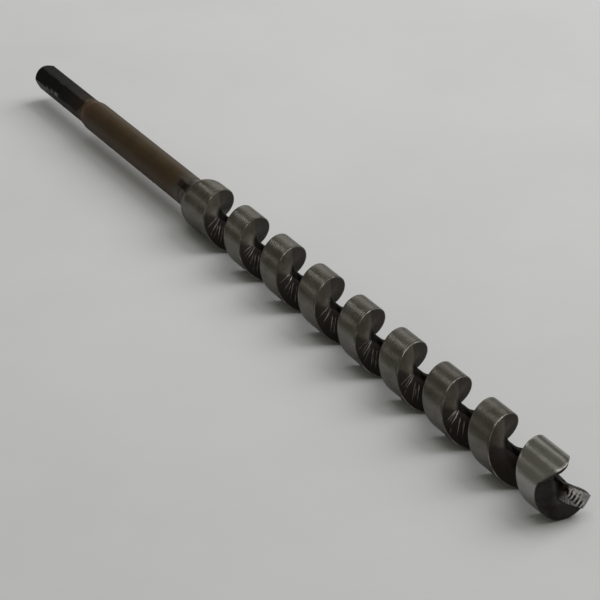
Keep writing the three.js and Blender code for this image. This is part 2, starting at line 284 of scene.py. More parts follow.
def flute_mesh():
    # stations round each turn, closer together where the creases are
    pattern = np.concatenate([np.arange(0, 60, 4.0), np.arange(60, 152, 1.15), np.arange(152, 359.9, 4.0)])
    n_turn, turns, first = len(pattern), 11, -6
    th = np.concatenate([pattern + 360.0 * (first + t) for t in range(turns)] + [[360.0 * (first + turns)]])
    rim = PH + PITCH * th / 360.0
    n = len(th)
    one = np.ones(n)

    deg4 = th - 1440.0
    on = (deg4 > -92) & (deg4 < 66)
    se = np.where(on, np.maximum(0.0, curve(WING_EDGE, deg4) - rim), 0.0)
    w = smooth(se / 1.6)

    cols = []

    def col(s, r):
        cols.append((one * s, one * r))

    col(-LAND, R - EDGE)
    col(-LAND + 0.07, R - 0.055)
    col(-LAND + 0.24, R)
    rear_edge = len(cols)
    for s in (-LAND + 1.4, -LAND + 2.9, -LAND + 4.5, -LAND + 6.2, -LAND + 7.9, -LAND + 9.6, -LAND + 11.1, -1.4):
        col(s, R)
    for t in (0.0, 0.25, 0.5, 0.75, 1.0):
        col(-0.24 + se * t, R)
    col(se - 0.07, R - 0.055)
    col(se, R - EDGE)
    col(se + 0.02 * w, R - EDGE - 0.35 * w)
    col(se - 0.12 * w, R - EDGE - 0.85 * w)
    col(se - 0.42 * w, R - EDGE - 1.30 * w)
    s_n, r_n = se - 0.9 * w, R - EDGE - 1.64 * w
    col(s_n, r_n)
    r_j = R - EDGE - w * (1.64 + 2.26 * np.maximum(0, se - 1.2) / (se + 3.1) + 0.3)
    s_j = s_face(r_j)
    for t in (0.2, 0.4, 0.6, 0.8, 0.93):
        sag = 0.12 * w * math.sin(math.pi * t)
        col(s_n + (s_j - s_n) * t, r_n + (r_j - r_n) * t**1.25 + sag)
    first_face = len(cols)
    for q in (0.0, 0.035, 0.09, 0.15, 0.21, 0.27, 0.33, 0.39, 0.45, 0.51, 0.57, 0.63, 0.69, 0.75, 0.81, 0.87, 0.94, 1.0):
        r = r_j + (0.212 * R - r_j) * q
        col(s_face(r), r)
    last_face = len(cols)
    for a in (0.215, 0.25, 0.29, 0.35, 0.41, 0.47, 0.53, 0.58, 0.63, 0.66):
        col(a * GROOVE_W, curve(GROOVE, a) * R)
    for q in (0.10, 0.20, 0.31, 0.43, 0.55, 0.67, 0.78, 0.88, 0.96):
        r = 0.20 * R + (R - EDGE - 0.20 * R) * q
        col(a_back(r) * GROOVE_W, r)
    s = np.stack([c[0] for c in cols], 1)
    r = np.stack([c[1] for c in cols], 1)
    c_n = len(cols)
    thg = np.repeat(th[:, None], c_n, 1)
    # behind the groove's run-out the surface is whole, and its stations are evenly spaced
    whole = smooth((-1606.0 - thg[:, first_face:]) / 20.0)
    even = GROOVE_W * np.arange(1, c_n - first_face + 1) / (c_n - first_face + 1.0)
    s[:, first_face:] += whole * (even[None, :] - s[:, first_face:])
    x = rim[:, None] + s

    # forged unevenness of the groove, and the creases of its front faces
    face = np.zeros(c_n)
    face[first_face:last_face] = 1
    crease = creases(thg, r)[1] * face[None, :]
    fade = smooth((x - (-50.0)) / 10.0)
    p = place(x, r, thg)
    rough = noise(p[..., 0], p[..., 1], p[..., 2], 3.1, 3) + 0.5 * noise(p[..., 0], p[..., 1], p[..., 2], 1.4, 4)
    inner = smooth((R - 0.6 - r) / 0.8)
    x = x + (crease * fade + 0.055 * rough * inner * face[None, :] * fade)
    bottom = np.zeros(c_n)
    bottom[last_face - 3:] = 1
    r = r + 0.075 * rough * inner * bottom[None, :] * fade

    r = np.where(x > 199, np.maximum(r, boss_radius(x) + 0.05 * rough), r)
    lag = np.zeros(c_n)
    lag[:rear_edge] = 360.0
    cut = np.maximum(r, run_out(thg - lag[None, :]) * R)
    r = np.minimum(cut, shell_radius(x))

    pts = place(x, r, thg).reshape(-1, 3)
    total = turns * n_turn                      # last ring
    tail = place(rim[total - n_turn + 1:] + GROOVE_W, (R - EDGE) * np.ones(n_turn), th[total - n_turn + 1:])
    verts = np.concatenate([pts, tail, [[th[0] / 360 * PITCH + PH - 70, 0, R]], [[rim[-1] + 70, 0, R]]])
    tail0 = n * c_n
    cap0, cap1 = tail0 + n_turn, tail0 + n_turn + 1

    def vid(j, c):
        if c < c_n:
            return j * c_n + c
        if j + n_turn <= total:
            return (j + n_turn) * c_n
        return tail0 + (j - (total - n_turn + 1))

    j, c = np.meshgrid(np.arange(total), np.arange(c_n - 1), indexing="ij")
    a = (j * c_n + c).ravel()
    quads = np.stack([a, a + c_n, a + c_n + 1, a + 1], -1).tolist()
    c = c_n - 1
    for j in range(total):
        quads.append([vid(j, c), vid(j + 1, c), vid(j + 1, c + 1), vid(j, c + 1)])
    for c in range(c_n):
        quads.append([vid(0, c), vid(0, c + 1), cap0])
        quads.append([vid(total, c + 1), vid(total, c), cap1])
    for j in range(n_turn):
        quads.append([vid(j + 1, 0), vid(j, 0), cap0])
    for j in range(total - n_turn, total):
        quads.append([vid(j, c_n), vid(j + 1, c_n), cap1])
    ob = new_object("flute", verts, quads)
    return tidy(ob)


def head_stock():
    """Everything behind the head face and ahead of the neck, as one drum."""
    deg = np.arange(-180, 180, 2.0)
    fs = np.array([1.35, 1.2, 1.08, 1.0, 0.94, 0.88, 0.82, 0.76, 0.70, 0.64, 0.58, 0.54, 0.51, 0.48, 0.45, 0.40, 0.34, 0.27, 0.2, 0.13, 0.06])
    d, f = np.meshgrid(deg, fs)
    back = curve(SETBACK, d) * smooth((f - 0.35) / 0.65)
    wing = smooth((d + 14) / 2.5) * smooth((48 - d) / 2.5)
    x = X_HEAD - back
    p = place(x, f * R, d)
    x = x + 0.07 * noise(p[..., 0], p[..., 1], p[..., 2], 2.6, 12) + 0.04 * noise(p[..., 0], p[..., 1], p[..., 2], 1.2, 13)
    x = x + wing * smooth((f - 0.44) / 0.10) * (227.0 - X_HEAD + back)
    face = place(x, f * R, d)
    behind = place(np.full(len(deg), X_NECK), 1.35 * R, deg)[None]
    return tidy(rings_object("stock", np.concatenate([behind, face]), [X_NECK, 0, R], [X_HEAD, 0, R]))


LIP = [
    (-.26, -.10), (-.20, -.22), (.10, -.44), (.655, -.745), (.71, -.70), (.83, -.55), (.92, -.385), (.945, -.33),
    (.75, -.185), (.50, -.035), (.30, .10), (.15, .21), (-.05, .31),
]


def grown(d):
    n = len(LIP)
    out = []
    for i in range(n):
        a, b, c = (np.array(LIP[k % n]) * R for k in (i - 1, i, i + 1))
        n1 = np.array([b[1] - a[1], a[0] - b[0]])
        n2 = np.array([c[1] - b[1], b[0] - c[0]])
        m = n1 / np.linalg.norm(n1) + n2 / np.linalg.norm(n2)
        out.append(b + m * d * 2 / (m @ m))
    return out


def lip_prism(name, d, x0, x1):
    pts = grown(d)
    m = len(pts)
    verts = [[x0, p[0], R + p[1]] for p in pts] + [[x1, p[0], R + p[1]] for p in pts]
    faces = [list(range(m))[::-1], list(range(m, 2 * m))]
    faces += [[i, (i + 1) % m, m + (i + 1) % m, m + i] for i in range(m)]
    return tidy(new_object(name, verts, faces))


def drum(name, x0, x1, r):
    rings = turned(name, [(x0, r), (x1, r)], 144)
    return tidy(rings_object(name, rings, [x0, 0, R], [x1, 0, R]))


# crescents bitten into the lip: place across the axis in flute radii
BITES = [(0.02, 0.12), (0.09, 0.00), (0.20, -0.125), (0.32, -0.26), (0.44, -0.40), (0.57, -0.545)]


def lip_ripple(y, z):
    """Crescents bitten into the lip, y and z in mm about the axis."""
    rr = np.hypot(y, z)
    out = 0.0
    for h, v in BITES:
        rb = math.hypot(h, v) * R
        ang = math.atan2(v, h)
        da = np.angle(np.exp(1j * (np.arctan2(z, y) - ang))) * max(rb, 1.2)
        radial = rr - rb - 0.14 * da**2 / R
        out = out - 0.62 * np.exp(-((radial / 0.30) ** 2)) * np.exp(-((da / 1.35) ** 2))
        out = out + 0.24 * np.exp(-(((radial - 0.66) / 0.26) ** 2)) * np.exp(-((da / 1.7) ** 2))
    return out


def lip_height(y, z):
    """Top of the lip above the head plane, y and z in mm about the axis."""
    along = (y * 0.72 - z * 0.69) / R           # from the core out to the rim
    beyond = -0.770 * (y / R - 0.02) - 0.637 * (z / R - 0.12)     # past the row of crescents
    top = 0.15 + 0.60 * smooth((along + 0.12) / 0.35) - 0.35 * smooth((beyond - 0.06) / 0.14)
    grain = 0.08 * noise(y, z, 0 * y, 0.9, 21) + 0.06 * noise(y, z, 0 * y, 0.45, 22) + 0.04 * noise(y, z, 0 * y, 1.9, 24)
    return np.minimum(top + lip_ripple(y, z) + grain * smooth((along + 0.2) / 0.3), 0.85)


def lip_mesh():
    ys = np.arange(-3.4, 11.2, 0.16)
    zs = np.arange(-8.9, 3.9, 0.16)
    y, z = np.meshgrid(ys, zs, indexing="ij")
    top = np.stack([X_HEAD + lip_height(y, z), y, R + z], -1).reshape(-1, 3)
    low = np.stack([np.full_like(y, X_HEAD - 2.6), y, R + z], -1).reshape(-1, 3)
    n, m = y.shape
    faces = grid_faces(n, m, close=False) + [f[::-1] for f in grid_faces(n, m, close=False, offset=n * m)]
    border = [(i, 0) for i in range(n)] + [(n - 1, k) for k in range(1, m)] + [(i, m - 1) for i in range(n - 2, -1, -1)] + [(0, k) for k in range(m - 2, 0, -1)]
    ids = [i * m + k for i, k in border]
    for a, b in zip(ids, ids[1:] + ids[:1]):
        faces.append([a, b, b + n * m, a + n * m])
    ob = tidy(new_object("cutting_lip_detail", np.concatenate([top, low]), faces))
    boolean(ob, lip_prism("lip_outline", 0.0, X_HEAD - 2.55, X_HEAD + 4), "INTERSECT")
    boolean(ob, drum("lip_drum", X_HEAD - 10, X_HEAD + 6, R - 0.02), "INTERSECT")
    return tidy(ob, 40)


flute = boolean(flute_mesh(), head_stock(), "INTERSECT")
boolean(flute, lip_prism("lip_pocket", 0.22, X_HEAD - 2.85, X_HEAD + 9), "DIFFERENCE")
tidy(flute, 34)
flute.name = flute.data.name = "flute_twisted_body"
lip = lip_mesh()
braze = lip_prism("lip_braze_line", 0.20, X_HEAD - 2.83, X_HEAD - 0.12)
boolean(braze, lip_prism("braze_inner", 0.02, X_HEAD - 2.6, X_HEAD + 2), "DIFFERENCE")
boolean(braze, drum("braze_drum", X_HEAD - 10, X_HEAD + 6, R - 0.25), "INTERSECT")
tidy(braze, 34)


# ------------------------------------------------------------------ drive end and shank
def hex_radius(deg):
    """Hexagon with its six long edges slightly rounded."""
    off = (deg - (HEX_ROLL + 30) + 30) % 60 - 30
    flat = HEX_AF / 2 / np.cos(np.radians(off))
    corner = HEX_AF / 2 / math.cos(math.radians(30)) - 0.10
    edge = 26.5
    o = np.abs(off)
    soft = corner - 0.5 * 9.0 * np.radians(30 - o) ** 2
    return np.where(o > edge, np.minimum(flat, np.maximum(soft, 0)), flat)


def hex_mesh():
    deg = []
    for k in range(6):
        base = HEX_ROLL + 60 * k
        deg += [base + v for v in (0, 6, 12, 18, 23, 26, 27.5, 28.6, 29.4, 30.6, 31.4, 32.5, 34, 37, 42, 48, 54)]
    deg = np.array(deg)
    xs = np.concatenate([[-224.8], -224.8 + np.array([0.12, 0.3, 0.5, 0.7, 0.9, 1.1, 1.3, 1.5, 1.7, 2.1, 2.6]), np.arange(-221.0, -174.5, 1.5), [-174.0, -173.3]])
    x, d = np.meshgrid(xs, deg, indexing="ij")
    rc = HEX_AF / 2 / math.cos(math.radians(30))
    cone = rc - 1.0 + (x + 224.8) / 1.7 * 1.0 - 0.16 * (x < -224.75)
    r = np.minimum(hex_radius(d), cone)
    p = place(x, r, d)
    r = r + 0.02 * noise(p[..., 0], p[..., 1], p[..., 2], 4.0, 31)
    # a nick worn into the lower long edge near the end
    near = np.exp(-(((x + 204.0) / 4.0) ** 2)) * np.exp(-(((((d - 86) + 180) % 360 - 180) / 7.0) ** 2))
    r = r - 0.28 * near
    pts = place(x, r, d)
    ob = rings_object("hex_drive_end_detail", pts, [-224.8, 0, R], [-173.3, 0, R])
    return tidy(ob, 24)


hexagon = hex_mesh()


def lathe_object(name, profile, sides=120, wobble=0.0, sharp=34, caps=True):
    rings = turned(name, profile, sides, wobble)
    x0, x1 = profile[0][0], profile[-1][0]
    return tidy(rings_object(name, rings, [x0, 0, R], [x1, 0, R]), sharp)


shank_prof = [(-172.2, 6.05), (-171.9, 6.22), (-170.6, 6.5), (-169.0, 6.8), (-167.8, 6.93), (-166.4, SHANK_R)]
shank_prof += [(float(v), SHANK_R) for v in np.arange(-164, -71, 1.6)]
shank_prof += [(-70.5, SHANK_R), (-70.1, SHANK_R - 0.02), (-69.85, SHANK_R - 0.12)]
shank = lathe_object("round_shank_detail", shank_prof, 120, 0.018)

# weld rings, each a closed band that bridges the joint it stands for
hex_seam = lathe_object("hex_weld_ring", [(-173.5, 5.9), (-173.35, 6.12), (-173.05, 6.26), (-172.7, 6.30), (-172.3, 6.24), (-172.1, 6.1), (-171.95, 5.9)], 120, 0.03)
neck_seam = lathe_object("neck_weld_ring", [(-70.0, 6.82), (-69.8, 6.93), (-69.5, 6.99), (-69.1, 7.0), (-68.8, 6.96), (-68.5, 6.85)], 120, 0.03)


# ------------------------------------------------------------------ materials
class Net:
    """A short way to write shader nodes."""

    def __init__(self, name):
        self.mat = bpy.data.materials.new(name)
        self.mat.use_nodes = True
        self.nt = self.mat.node_tree
        self.nt.nodes.clear()
        self.out = self.nt.nodes.new("ShaderNodeOutputMaterial")
        self.bsdf = self.nt.nodes.new("ShaderNodeBsdfPrincipled")
        self.nt.links.new(self.bsdf.outputs[0], self.out.inputs[0])
        tc = self.nt.nodes.new("ShaderNodeTexCoord")
        self.pos = tc.outputs["Object"]
        sep = self.nt.nodes.new("ShaderNodeSeparateXYZ")
        self.nt.links.new(self.pos, sep.inputs[0])
        self.x = self.math("MULTIPLY", sep.outputs[0], 1000.0)      # mm along the bit
        self.y = self.math("MULTIPLY", sep.outputs[1], 1000.0)
        self.z = self.math("SUBTRACT", self.math("MULTIPLY", sep.outputs[2], 1000.0), R)
        self.r = self.math("SQRT", self.math("ADD", self.math("MULTIPLY", self.y, self.y), self.math("MULTIPLY", self.z, self.z)))
        self.deg = self.math("DEGREES", self.math("ARCTAN2", self.math("MULTIPLY", self.y, -1.0), self.z))

    def put(self, sock, value):
        if hasattr(value, "links"):
            self.nt.links.new(value, sock)
        elif isinstance(value, tuple) and len(value) == 3 and len(getattr(sock, "default_value", (0,))) == 4:
            sock.default_value = (*value, 1.0)
        else:
            sock.default_value = value

    def math(self, op, a, b=None, c=None, clamp=False):
        n = self.nt.nodes.new("ShaderNodeMath")
        n.operation, n.use_clamp = op, clamp
        self.put(n.inputs[0], a)
        if b is not None:
            self.put(n.inputs[1], b)
        if c is not None:
            self.put(n.inputs[2], c)
        return n.outputs[0]

    def add(self, a, b):
        return self.math("ADD", a, b)

    def mul(self, a, b):
        return self.math("MULTIPLY", a, b)

    def step(self, v, lo, hi, to_lo=0.0, to_hi=1.0):
        """Smooth change of v between lo and hi."""
        n = self.nt.nodes.new("ShaderNodeMapRange")
        n.interpolation_type = "SMOOTHSTEP"
        self.put(n.inputs[0], v)
        n.inputs[1].default_value, n.inputs[2].default_value = lo, hi
        n.inputs[3].default_value, n.inputs[4].default_value = to_lo, to_hi
        return n.outputs[0]

    def vec(self, x, y, z):
        n = self.nt.nodes.new("ShaderNodeCombineXYZ")
        for s, v in zip(n.inputs, (x, y, z)):
            self.put(s, v)
        return n.outputs[0]

    def noise(self, scale, detail=3.0, rough=0.55, vec=None, distortion=0.0):
        """Noise from 0 to 1; scale is in cells per metre along object space unless vec is given."""
        n = self.nt.nodes.new("ShaderNodeTexNoise")
        self.put(n.inputs["Vector"], self.pos if vec is None else vec)
        n.inputs["Scale"].default_value = scale
        n.inputs["Detail"].default_value = detail
        n.inputs["Roughness"].default_value = rough
        n.inputs["Distortion"].default_value = distortion
        return n.outputs["Fac"]

    def mix(self, f, a, b):
        n = self.nt.nodes.new("ShaderNodeMix")
        n.data_type = "RGBA"
        n.clamp_factor = True
        self.put(n.inputs[0], f)
        self.put(n.inputs[6], a if hasattr(a, "links") else (*a, 1.0))
        self.put(n.inputs[7], b if hasattr(b, "links") else (*b, 1.0))
        return n.outputs[2]

    def attr(self, name):
        n = self.nt.nodes.new("ShaderNodeAttribute")
        n.attribute_name = name
        return n.outputs["Fac"]

    def bump(self, *layers):
        normal = None
        for height, distance, strength in layers:
            b = self.nt.nodes.new("ShaderNodeBump")
            b.inputs["Strength"].default_value = strength
            b.inputs["Distance"].default_value = distance
            self.put(b.inputs["Height"], height)
            if normal is not None:
                self.nt.links.new(normal, b.inputs["Normal"])
            normal = b.outputs[0]
        self.nt.links.new(normal, self.bsdf.inputs["Normal"])

    def finish(self, color, rough, metallic, **plain):
        self.put(self.bsdf.inputs["Base Color"], color)
        self.put(self.bsdf.inputs["Roughness"], rough)
        self.put(self.bsdf.inputs["Metallic"], metallic)
        for k, v in plain.items():
            self.bsdf.inputs[k.replace("_", " ")].default_value = v
        return self.mat


def steel_flute():
    m = Net("ground_and_forged_steel")
    outer = m.step(m.r, R - 0.55, R - 0.16)
    neck = m.step(m.x, -52.5, -55.5)
    land = m.math("MAXIMUM", outer, neck)
    # long ground scratches round the land, marks drawn along it, and cloudy patches
    turned_vec = m.vec(m.mul(m.x, 0.9), m.mul(m.deg, 0.012), 0.0)
    lines = m.noise(3.2, 4.0, 0.62, turned_vec)
    along_vec = m.vec(m.mul(m.x, 0.035), m.mul(m.deg, 0.16), 0.0)
    drawn = m.noise(2.6, 3.0, 0.55, along_vec)
    cloud = m.noise(120.0, 3.0, 0.6)
    patch = m.noise(46.0, 2.0, 0.5)
    fine = m.noise(1500.0, 2.0, 0.6)
    speck = m.noise(620.0, 2.0, 0.5)
    base_land = m.mix(m.step(cloud, 0.32, 0.7), (0.120, 0.113, 0.098), (0.168, 0.160, 0.145))
    base_land = m.mix(m.mul(m.step(patch, 0.50, 0.68), 0.45), base_land, (0.102, 0.096, 0.077))
    base_land = m.mix(m.mul(m.step(drawn, 0.45, 0.74), 0.45), base_land, (0.215, 0.212, 0.192))
    base_land = m.mix(m.mul(m.step(speck, 0.66, 0.80), 0.6), base_land, (0.050, 0.043, 0.032))
    last = m.step(m.x, 194.0, 203.0)
    base_land = m.mix(m.mul(last, 0.66), base_land, (0.35, 0.345, 0.33))
    # painted shade on the rounded edge of the wing near its end
    wing_edge_painted_shade = m.mul(m.step(m.x, 209.0, 216.0), m.step(m.r, R - 0.01, R - 0.05))
    base_land = m.mix(m.mul(wing_edge_painted_shade, 0.85), base_land, (0.045, 0.041, 0.036))
    # heat tint where the neck was welded, and a dark spot at about 42 degrees by the neck
    tint = m.step(m.add(m.x, m.mul(m.noise(170.0, 3.0, 0.6), 8.0)), -55.5, -63.5)
    base_land = m.mix(m.mul(tint, 0.60), base_land, (0.098, 0.082, 0.064))
    edge = m.noise(240.0, 3.0, 0.6)
    spot_x = m.mul(m.step(m.add(m.x, m.mul(edge, 3.0)), -70.5, -67.0), m.step(m.add(m.x, m.mul(edge, 3.0)), -55.0, -58.0))
    spot = m.mul(spot_x, m.step(m.math("ABSOLUTE", m.add(m.deg, -42.0)), 17.0, 9.0))
    base_land = m.mix(m.mul(spot, 0.97), base_land, (0.010, 0.005, 0.003))
    # forged front faces: grey oxide at the outside, darkening to near black at the core, partly dark oxide and partly
    # painted shade in the deep recess; painted shade at the bottom
    depth = m.step(m.add(m.r, m.mul(m.noise(300.0, 3.0, 0.6), 1.2)), R * 0.39, R * 0.58)
    face = m.mix(m.step(cloud, 0.3, 0.7), (0.084, 0.076, 0.063), (0.134, 0.122, 0.104))
    dark = m.mix(m.step(fine, 0.35, 0.7), (0.0012, 0.0009, 0.0006), (0.0034, 0.0025, 0.0017))
    groove = m.mix(depth, dark, face)
    # painted shade on the front faces: darker past a radial border near the top, and darker below the middle
    past = m.mul(m.step(m.deg, 3.0, -5.0), m.step(m.deg, -178.0, -165.0))
    groove = m.mix(m.mul(past, 0.60), groove, (0.030, 0.027, 0.023))
    lower = m.step(m.add(m.deg, m.mul(m.noise(220.0, 3.0, 0.6), 14.0)), 61.0, 76.0)
    lower = m.mul(lower, m.step(m.x, 205.0, 192.0))
    groove = m.mix(m.mul(lower, 0.86), groove, (0.0262, 0.0218, 0.0206))
    # more painted shade towards the underside of the face
    groove = m.mix(m.mul(m.step(m.deg, 78.0, 130.0), 0.35), groove, (0.014, 0.010, 0.008))
    # painted highlight along the creases of the front faces, broken by noise
    ragged = m.mul(m.add(m.noise(900.0, 3.0, 0.6), -0.5), 0.16)
    for n in range(len(CREASES)):
        line = m.step(m.math("ABSOLUTE", m.add(m.attr("crease_at_%d" % n), ragged)), 0.21, 0.06)
        line = m.mul(m.mul(line, m.attr("crease_on_%d" % n)), m.step(m.noise(330.0, 2.0, 0.5), 0.34, 0.56, 0.25, 1.0))
        painted_crease_highlight = line if n == 0 else m.math("MAXIMUM", painted_crease_highlight, line)
    groove = m.mix(painted_crease_highlight, groove, (0.50, 0.485, 0.465))
    boss = m.mul(m.mul(m.step(m.x, 213.0, 217.0), m.step(m.r, 4.6, 3.9)), m.step(m.y, -1.0, 0.3))
    groove = m.mix(m.mul(boss, 0.85), groove, (0.115, 0.110, 0.102))
    bare_boss = m.mul(boss, 0.8)
    head = m.mul(m.step(m.x, 219.2, 219.9), m.math("SUBTRACT", 1.0, outer))
    face_h = m.mix(m.step(cloud, 0.35, 0.65), (0.050, 0.047, 0.045), (0.092, 0.087, 0.083))
    face_h = m.mix(m.mul(m.step(m.noise(260.0, 3.0, 0.6), 0.5, 0.72), 0.6), face_h, (0.046, 0.034, 0.024))
    face_h = m.mix(m.mul(m.step(m.r, 4.6, 2.6), 0.85), face_h, (0.0075, 0.0052, 0.0036))
    groove = m.mix(head, groove, face_h)
    color = m.mix(land, groove, base_land)
    # painted highlight along the rounded front rims of the lands, fainter on the wing
    rim = m.mul(m.math("COMPARE", m.r, R - 0.11, 0.085), m.step(m.noise(330.0, 2.0, 0.5), 0.46, 0.6))
    rim = m.mul(rim, m.step(m.x, -55.0, -52.0))
    color = m.mix(m.mul(rim, m.step(m.x, 205.0, 214.0, 0.62, 0.12)), color, (0.56, 0.55, 0.52))
    rough = m.add(m.mul(cloud, 0.16), m.mul(lines, 0.14))
    rough = m.add(rough, m.math("MULTIPLY_ADD", land, -0.36, 0.46))
    rough = m.add(rough, m.mul(spot, 0.25))
    rough = m.add(rough, m.mul(tint, 0.16))
    rough = m.add(rough, m.mul(last, m.mul(land, -0.10)))
    rough = m.add(rough, m.mul(wing_edge_painted_shade, 0.25))
    m.bump((m.mul(m.noise(420.0, 4.0, 0.6), m.math("MULTIPLY_ADD", land, -0.85, 1.0)), 0.0006, 0.35),
           (m.mul(lines, land), 0.00006, 0.5), (m.mul(drawn, land), 0.00012, 0.4), (fine, 0.00003, 0.3))
    bare_face = m.mul(m.mul(depth, 0.9), m.math("MULTIPLY_ADD", lower, -0.85, 1.0))
    metallic = m.math("MAXIMUM", m.math("MAXIMUM", land, bare_boss), m.math("MAXIMUM", bare_face, painted_crease_highlight))
    metallic = m.mul(metallic, m.math("MULTIPLY_ADD", spot, -0.97, 1.0))
    return m.finish(color, rough, metallic, Specular_IOR_Level=0.03, Specular_Tint=(0.69, 0.69, 0.675, 1.0))


def black_oxide():
    m = Net("black_oxide_finish")
    cloud = m.noise(170.0, 4.0, 0.6)
    fine = m.noise(1700.0, 3.0, 0.6)
    long_vec = m.vec(m.mul(m.x, 0.05), m.mul(m.deg, 0.35), 0.0)
    draw = m.noise(2.0, 3.0, 0.55, long_vec)
    color = m.mix(m.step(cloud, 0.35, 0.7), (0.0013, 0.0013, 0.0012), (0.0030, 0.0028, 0.0025))
    toward = m.step(m.x, -200.0, -173.0)
    color = m.mix(m.mul(toward, 0.75), color, (0.022, 0.0140, 0.0100))
    # the shank's lacquer runs over the end of the hexagon, less so on the flat that faces the front
    over = m.mul(m.step(m.math("ABSOLUTE", m.add(m.deg, -42.0)), 12.0, 40.0), 3.0)
    run = m.step(m.add(m.add(m.x, over), m.mul(m.noise(300.0, 3.0, 0.6), 1.2)), -173.6, -172.4)
    color = m.mix(m.mul(run, 0.92), color, (0.062, 0.040, 0.023))
    # wear along the long edges
    rc = HEX_AF / 2 / math.cos(math.radians(30))
    edge = m.mul(m.step(m.r, rc - 0.30, rc - 0.10), m.step(m.noise(240.0, 3.0, 0.6), 0.48, 0.64))
    color = m.mix(m.mul(edge, 0.5), color, (0.065, 0.062, 0.056))
    nick = m.mul(m.mul(m.step(m.math("ABSOLUTE", m.add(m.x, 204.0)), 7.5, 4.5), m.step(m.math("ABSOLUTE", m.add(m.deg, -85.0)), 12.0, 5.0)), m.step(m.noise(420.0, 3.0, 0.6), 0.38, 0.56))
    color = m.mix(m.mul(nick, 0.85), color, (0.17, 0.168, 0.16))
    rough = m.math("MULTIPLY_ADD", cloud, 0.18, 0.34)
    m.bump((fine, 0.00004, 0.35), (draw, 0.00012, 0.35), (cloud, 0.0004, 0.2))
    return m.finish(color, rough, m.mul(nick, 0.8), Specular_IOR_Level=0.052)


def brown_lacquer():
    m = Net("brown_lacquer_on_steel")
    cloud = m.noise(90.0, 4.0, 0.6)
    fine = m.noise(1400.0, 3.0, 0.6)
    long_vec = m.vec(m.mul(m.x, 0.03), m.mul(m.deg, 0.10), 0.0)
    draw = m.noise(2.4, 4.0, 0.6, long_vec)
    brown = m.mix(m.step(cloud, 0.3, 0.7), (0.039, 0.0218, 0.0076), (0.052, 0.0304, 0.0112))
    brown = m.mix(m.mul(m.step(draw, 0.50, 0.74), 0.45), brown, (0.060, 0.0450, 0.0235))
    red = m.mul(m.step(m.x, -162.0, -170.0), m.step(m.noise(110.0, 3.0, 0.6), 0.35, 0.62, 0.35, 0.8))
    brown = m.mix(red, brown, (0.072, 0.034, 0.019))
    spots = m.step(m.noise(520.0, 2.0, 0.5), 0.68, 0.78)
    brown = m.mix(m.mul(spots, 0.5), brown, (0.018, 0.011, 0.006))
    edge = m.add(m.x, m.mul(m.noise(150.0, 3.0, 0.6), 9.0))
    bare = m.step(edge, -75.0, -64.5)
    steel = m.mix(m.step(cloud, 0.35, 0.7), (0.060, 0.052, 0.042), (0.088, 0.079, 0.067))
    color = m.mix(bare, brown, steel)
    dark_blotch = m.mul(m.step(m.add(m.x, m.mul(m.noise(240.0, 3.0, 0.6), 3.0)), -73.0, -70.4), m.step(m.math("ABSOLUTE", m.add(m.deg, -41.0)), 17.0, 10.0))
    color = m.mix(m.mul(dark_blotch, 0.95), color, (0.013, 0.004, 0.002))
    rough = m.math("MULTIPLY_ADD", cloud, 0.16, 0.36)
    m.bump((fine, 0.00004, 0.3), (draw, 0.0002, 0.35), (cloud, 0.0006, 0.15))
    return m.finish(color, rough, m.mul(m.mul(bare, 0.6), m.math("SUBTRACT", 1.0, dark_blotch)), Specular_IOR_Level=0.13)


def lip_steel():
    m = Net("rough_bright_lip")
    n1 = m.noise(1150.0, 3.0, 0.6)
    n2 = m.noise(2600.0, 3.0, 0.6)
    n3 = m.noise(420.0, 3.0, 0.6)
    color = m.mix(m.step(n1, 0.40, 0.62), (0.075, 0.072, 0.068), (0.46, 0.45, 0.43))
    along = m.add(m.mul(m.y, 0.72 / R), m.mul(m.z, -0.69 / R))
    beyond = m.add(m.add(m.mul(m.y, -0.770 / R), m.mul(m.z, -0.637 / R)), 0.0918)
    plain = m.mul(m.step(along, 0.50, 0.72), m.step(beyond, 0.02, -0.10))
    color = m.mix(m.mul(plain, 0.7), color, (0.25, 0.245, 0.235))
    rim = m.step(m.add(beyond, m.mul(along, 0.55)), -0.02, -0.20)
    color = m.mix(m.mul(rim, 0.45), color, (0.52, 0.51, 0.49))
    # painted shade in the bitten crescents and a painted highlight on the ridges beside them
    ripple = m.attr("bitten")
    color = m.mix(m.step(ripple, -0.04, -0.34), color, (0.016, 0.013, 0.010))
    color = m.mix(m.mul(m.step(ripple, 0.04, 0.16), 0.8), color, (0.66, 0.65, 0.63))
    shade = m.step(m.add(beyond, m.mul(m.add(n3, -0.5), 0.12)), 0.02, 0.16)
    color = m.mix(m.mul(shade, 0.45), color, (0.100, 0.094, 0.086))
    color = m.mix(m.step(m.add(along, m.mul(m.add(n3, -0.5), 0.15)), 0.16, -0.10), color, (0.022, 0.016, 0.011))
    rough = m.math("MULTIPLY_ADD", n2, 0.25, 0.24)
    m.bump((n1, 0.0003, 0.45), (n2, 0.0001, 0.5))
    return m.finish(color, rough, 1.0)


def joint_metal(name, a, b, metallic):
    m = Net(name)
    n1 = m.noise(700.0, 4.0, 0.6)
    n2 = m.noise(2200.0, 3.0, 0.6)
    color = m.mix(m.step(n1, 0.35, 0.68), a, b)
    dark_blotch = m.mul(m.step(m.math("ABSOLUTE", m.add(m.x, 69.0)), 2.0, 1.5), m.step(m.math("ABSOLUTE", m.add(m.deg, -41.0)), 15.0, 8.0))
    color = m.mix(m.mul(dark_blotch, 0.95), color, (0.012, 0.006, 0.003))
    m.bump((n1, 0.0003, 0.4), (n2, 0.00006, 0.4))
    return m.finish(color, m.math("MULTIPLY_ADD", n2, 0.25, 0.40), m.math("MULTIPLY_ADD", dark_blotch, -metallic, metallic), Specular_IOR_Level=0.12)


